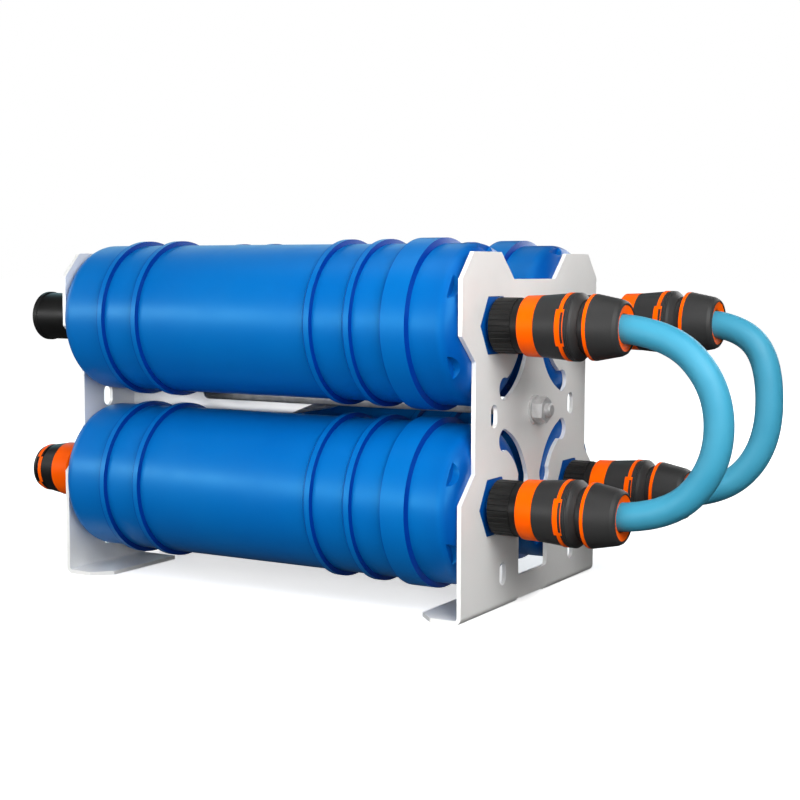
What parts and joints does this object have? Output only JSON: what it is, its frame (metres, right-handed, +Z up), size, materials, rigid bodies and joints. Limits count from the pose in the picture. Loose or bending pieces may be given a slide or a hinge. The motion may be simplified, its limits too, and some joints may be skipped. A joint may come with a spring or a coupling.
{
  "type": "deionized water filter tank",
  "caption": "Rack of horizontal blue resin vessels between folded sheet end plates, joined by quick couplers and U-shaped hoses, with water inlets and outlets at the far end.",
  "frame": {"origin": "middle of the bounding box in plan, with the undersides of the feet at Z = 0", "axes": "+X along the vessels towards the end with the U hoses, +Y to the rear of the picture, +Z up"},
  "size_m": [0.5746, 0.2416, 0.256],
  "materials": {
    "rack_sheet": "satin light grey",
    "bracket_sheet": "satin light grey",
    "tie_steel": "zinc plated, satin",
    "vessel_blue": "moulded, half gloss",
    "resin": "fine beads",
    "strainer_plastic": "plain",
    "seal_rubber": "plain",
    "fitting_black": "moulded, satin",
    "coupler_grey": "soft satin",
    "coupler_orange": "moulded, half gloss",
    "hose_blue": "smooth, half gloss"
  },
  "bodies": {
    "rack": {"end_plate_right": "rack_sheet", "end_plate_left": "rack_sheet", "centre_bracket": "bracket_sheet", "tie_rod": "tie_steel", "tie_nuts": "tie_steel", "tie_washers": "tie_steel", "cap_seals": "seal_rubber", "strainer_discs": "strainer_plastic", "vessel_shell_front_top": "vessel_blue", "vessel_cap_front_top": "vessel_blue", "resin_bed_front_top": "resin", "tap_adaptor_front_top": "fitting_black", "coupler_nose_front_top": "coupler_orange", "hose_collet_front_top": "coupler_orange", "coupler_body_front_top": "coupler_grey", "hose_nut_front_top": "coupler_grey", "vessel_shell_front_bottom": "vessel_blue", "vessel_cap_front_bottom": "vessel_blue", "resin_bed_front_bottom": "resin", "tap_adaptor_front_bottom": "fitting_black", "coupler_nose_front_bottom": "coupler_orange", "hose_collet_front_bottom": "coupler_orange", "coupler_body_front_bottom": "coupler_grey", "hose_nut_front_bottom": "coupler_grey", "vessel_shell_rear_top": "vessel_blue", "vessel_cap_rear_top": "vessel_blue", "resin_bed_rear_top": "resin", "tap_adaptor_rear_top": "fitting_black", "coupler_nose_rear_top": "coupler_orange", "hose_collet_rear_top": "coupler_orange", "coupler_body_rear_top": "coupler_grey", "hose_nut_rear_top": "coupler_grey", "vessel_shell_rear_bottom": "vessel_blue", "vessel_cap_rear_bottom": "vessel_blue", "resin_bed_rear_bottom": "resin", "tap_adaptor_rear_bottom": "fitting_black", "coupler_nose_rear_bottom": "coupler_orange", "hose_collet_rear_bottom": "coupler_orange", "coupler_body_rear_bottom": "coupler_grey", "hose_nut_rear_bottom": "coupler_grey", "outlet_socket_front": "fitting_black", "inlet_adaptor_front": "fitting_black", "hose_front": "hose_blue", "outlet_socket_rear": "fitting_black", "inlet_adaptor_rear": "fitting_black", "hose_rear": "hose_blue"},
    "release_sleeve_front_top": {"release_sleeve_front_top": "coupler_grey", "sleeve_ring_front_top": "coupler_orange"},
    "release_sleeve_front_bottom": {"release_sleeve_front_bottom": "coupler_grey", "sleeve_ring_front_bottom": "coupler_orange"},
    "release_sleeve_rear_top": {"release_sleeve_rear_top": "coupler_grey", "sleeve_ring_rear_top": "coupler_orange"},
    "release_sleeve_rear_bottom": {"release_sleeve_rear_bottom": "coupler_grey", "sleeve_ring_rear_bottom": "coupler_orange"},
    "inlet_coupler_front": {"inlet_body_front": "coupler_orange"},
    "inlet_sleeve_front": {"inlet_sleeve_front": "fitting_black", "inlet_band_front": "coupler_orange"},
    "inlet_coupler_rear": {"inlet_body_rear": "coupler_orange"},
    "inlet_sleeve_rear": {"inlet_sleeve_rear": "fitting_black", "inlet_band_rear": "coupler_orange"}
  },
  "joints": [
    {"name": "release_slide_front_top", "type": "slide", "parent": "rack", "child": "release_sleeve_front_top", "axis": [1, 0, 0], "range_m": [0, 0.004], "stiffness_N_per_m": 400, "springref_m": -0.004},
    {"name": "release_slide_front_bottom", "type": "slide", "parent": "rack", "child": "release_sleeve_front_bottom", "axis": [1, 0, 0], "range_m": [0, 0.004], "stiffness_N_per_m": 400, "springref_m": -0.004},
    {"name": "release_slide_rear_top", "type": "slide", "parent": "rack", "child": "release_sleeve_rear_top", "axis": [1, 0, 0], "range_m": [0, 0.004], "stiffness_N_per_m": 400, "springref_m": -0.004},
    {"name": "release_slide_rear_bottom", "type": "slide", "parent": "rack", "child": "release_sleeve_rear_bottom", "axis": [1, 0, 0], "range_m": [0, 0.004], "stiffness_N_per_m": 400, "springref_m": -0.004},
    {"name": "inlet_swivel_front", "type": "hinge", "parent": "rack", "child": "inlet_coupler_front", "pos_m": [-0.26305, -0.0615, 0.0733], "axis": [-1, 0, 0], "continuous": true},
    {"name": "inlet_release_front", "type": "slide", "parent": "inlet_coupler_front", "child": "inlet_sleeve_front", "axis": [-1, 0, 0], "range_m": [0, 0.004], "stiffness_N_per_m": 400, "springref_m": -0.004},
    {"name": "inlet_swivel_rear", "type": "hinge", "parent": "rack", "child": "inlet_coupler_rear", "pos_m": [-0.26305, 0.0615, 0.0733], "axis": [-1, 0, 0], "continuous": true},
    {"name": "inlet_release_rear", "type": "slide", "parent": "inlet_coupler_rear", "child": "inlet_sleeve_rear", "axis": [-1, 0, 0], "range_m": [0, 0.004], "stiffness_N_per_m": 400, "springref_m": -0.004}
  ]
}
